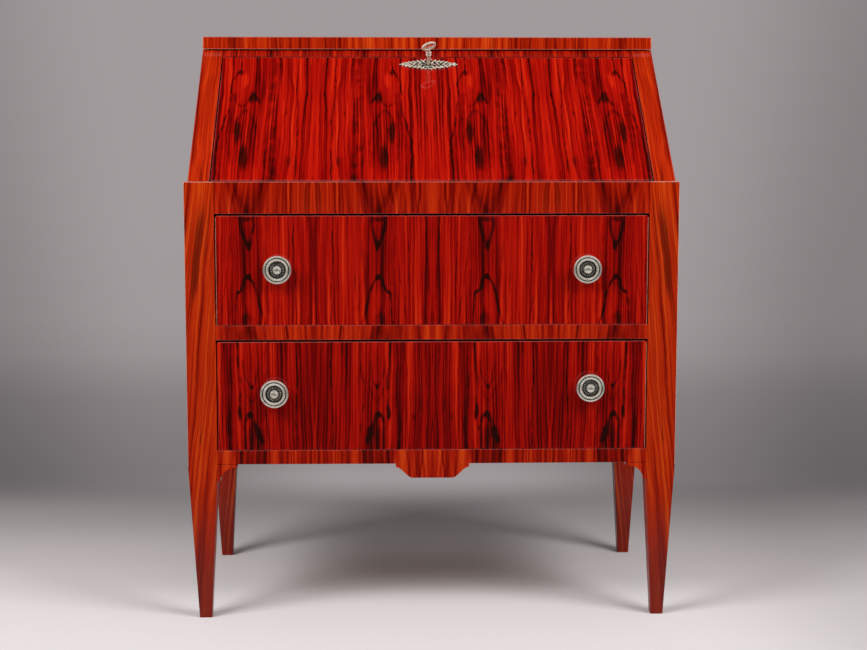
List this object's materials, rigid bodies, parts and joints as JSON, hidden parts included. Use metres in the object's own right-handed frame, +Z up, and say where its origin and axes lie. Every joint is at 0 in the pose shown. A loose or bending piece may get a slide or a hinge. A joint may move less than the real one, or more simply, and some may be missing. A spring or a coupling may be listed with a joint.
{
  "type": "slant-front desk",
  "caption": "Slant-front writing desk in glossy figured veneer: hinged fall with key, pigeonholes, long drawers with round brass knobs, square tapered legs.",
  "frame": {"origin": "on the floor, under the middle of the desk's box", "axes": "+X to the desk's right as seen from the front, +Y to its back, +Z up; the front faces -Y"},
  "size_m": [0.83, 0.495, 1],
  "materials": {
    "veneer": "high-gloss lacquer",
    "stile_veneer": "high-gloss lacquer",
    "inner_wood": "satin",
    "pale_wood": "bare planed wood",
    "brass": "aged brass",
    "plate_metal": "worn pale brass",
    "steel": "dull steel"
  },
  "bodies": {
    "carcass": {"back_left_leg": "stile_veneer", "back_panel": "inner_wood", "back_right_leg": "stile_veneer", "bottom_rail": "veneer", "front_left_leg": "stile_veneer", "front_right_leg": "stile_veneer", "gallery": "inner_wood", "head_rail": "veneer", "left_corner_bracket": "veneer", "left_gable": "stile_veneer", "left_hinge_board_leaf": "brass", "left_lower_runner": "pale_wood", "left_side_panel": "stile_veneer", "left_stay_gable_plate": "brass", "left_upper_runner": "pale_wood", "lock_keeper": "brass", "mid_rail": "veneer", "right_corner_bracket": "veneer", "right_gable": "stile_veneer", "right_hinge_board_leaf": "brass", "right_lower_runner": "pale_wood", "right_side_panel": "stile_veneer", "right_stay_gable_plate": "brass", "right_upper_runner": "pale_wood", "top_board": "stile_veneer", "top_rail": "veneer", "writing_board": "inner_wood"},
    "fall": {"fall_panel": "veneer", "keyhole_plate": "plate_metal", "lock_case": "brass", "left_hinge_fall_leaf": "brass", "left_stay_fall_bracket": "brass", "right_hinge_fall_leaf": "brass", "right_stay_fall_bracket": "brass"},
    "key": {"key": "brass"},
    "lock_bolt": {"lock_bolt": "steel"},
    "upper_drawer": {"upper_drawer_back": "pale_wood", "upper_drawer_bottom": "pale_wood", "upper_drawer_front": "veneer", "upper_drawer_left_knob": "brass", "upper_drawer_left_side": "pale_wood", "upper_drawer_right_knob": "brass", "upper_drawer_right_side": "pale_wood"},
    "lower_drawer": {"lower_drawer_back": "pale_wood", "lower_drawer_bottom": "pale_wood", "lower_drawer_front": "veneer", "lower_drawer_left_knob": "brass", "lower_drawer_left_side": "pale_wood", "lower_drawer_right_knob": "brass", "lower_drawer_right_side": "pale_wood"},
    "left_small_drawer": {"left_small_drawer_front": "veneer", "left_small_drawer_knob": "brass", "left_small_drawer_tray": "pale_wood"},
    "right_small_drawer": {"right_small_drawer_front": "veneer", "right_small_drawer_knob": "brass", "right_small_drawer_tray": "pale_wood"},
    "left_gable_arm": {"left_stay_gable_arm": "brass"},
    "left_fall_arm": {"left_stay_fall_arm": "brass"},
    "right_gable_arm": {"right_stay_gable_arm": "brass"},
    "right_fall_arm": {"right_stay_fall_arm": "brass"}
  },
  "joints": [
    {"name": "fall_hinge", "type": "hinge", "parent": "carcass", "child": "fall", "pos_m": [0, -0.17231, 0.7675], "axis": [1, 0, 0], "range_deg": [0, 142.13]},
    {"name": "key_turn", "type": "hinge", "parent": "fall", "child": "key", "pos_m": [0, 0.03306, 0.94877], "axis": [0, 0.6139, -0.7894], "range_deg": [0, 90]},
    {"name": "bolt_slide", "type": "slide", "parent": "fall", "child": "lock_bolt", "axis": [0, 0.7894, 0.6139], "range_m": [0, 0.0075]},
    {"name": "left_gable_arm_turn", "type": "hinge", "parent": "carcass", "child": "left_gable_arm", "pos_m": [0, -0.05046, 0.83229], "axis": [1, 0, 0], "range_deg": [0, 150.59]},
    {"name": "left_fall_arm_turn", "type": "hinge", "parent": "fall", "child": "left_fall_arm", "pos_m": [0, -0.05643, 0.84243], "axis": [-1, 0, 0], "range_deg": [0, 150.59]},
    {"name": "right_gable_arm_turn", "type": "hinge", "parent": "carcass", "child": "right_gable_arm", "pos_m": [0, -0.05046, 0.83229], "axis": [1, 0, 0], "range_deg": [0, 150.59]},
    {"name": "right_fall_arm_turn", "type": "hinge", "parent": "fall", "child": "right_fall_arm", "pos_m": [0, -0.05643, 0.84243], "axis": [-1, 0, 0], "range_deg": [0, 150.59]},
    {"name": "upper_drawer_slide", "type": "slide", "parent": "carcass", "child": "upper_drawer", "axis": [0, -1, 0], "range_m": [0, 0.29]},
    {"name": "lower_drawer_slide", "type": "slide", "parent": "carcass", "child": "lower_drawer", "axis": [0, -1, 0], "range_m": [0, 0.29]},
    {"name": "left_small_drawer_slide", "type": "slide", "parent": "carcass", "child": "left_small_drawer", "axis": [0, -1, 0], "range_m": [0, 0.1]},
    {"name": "right_small_drawer_slide", "type": "slide", "parent": "carcass", "child": "right_small_drawer", "axis": [0, -1, 0], "range_m": [0, 0.1]}
  ],
  "couplings": [
    {"joint": "key_turn", "follows": "bolt_slide", "rad_per_m": 209.44},
    {"joint": "left_gable_arm_turn", "follows": "fall_hinge", "ratio": 1.0592},
    {"joint": "left_fall_arm_turn", "follows": "fall_hinge", "ratio": 1.0592},
    {"joint": "right_gable_arm_turn", "follows": "fall_hinge", "ratio": 1.0592},
    {"joint": "right_fall_arm_turn", "follows": "fall_hinge", "ratio": 1.0592}
  ]
}
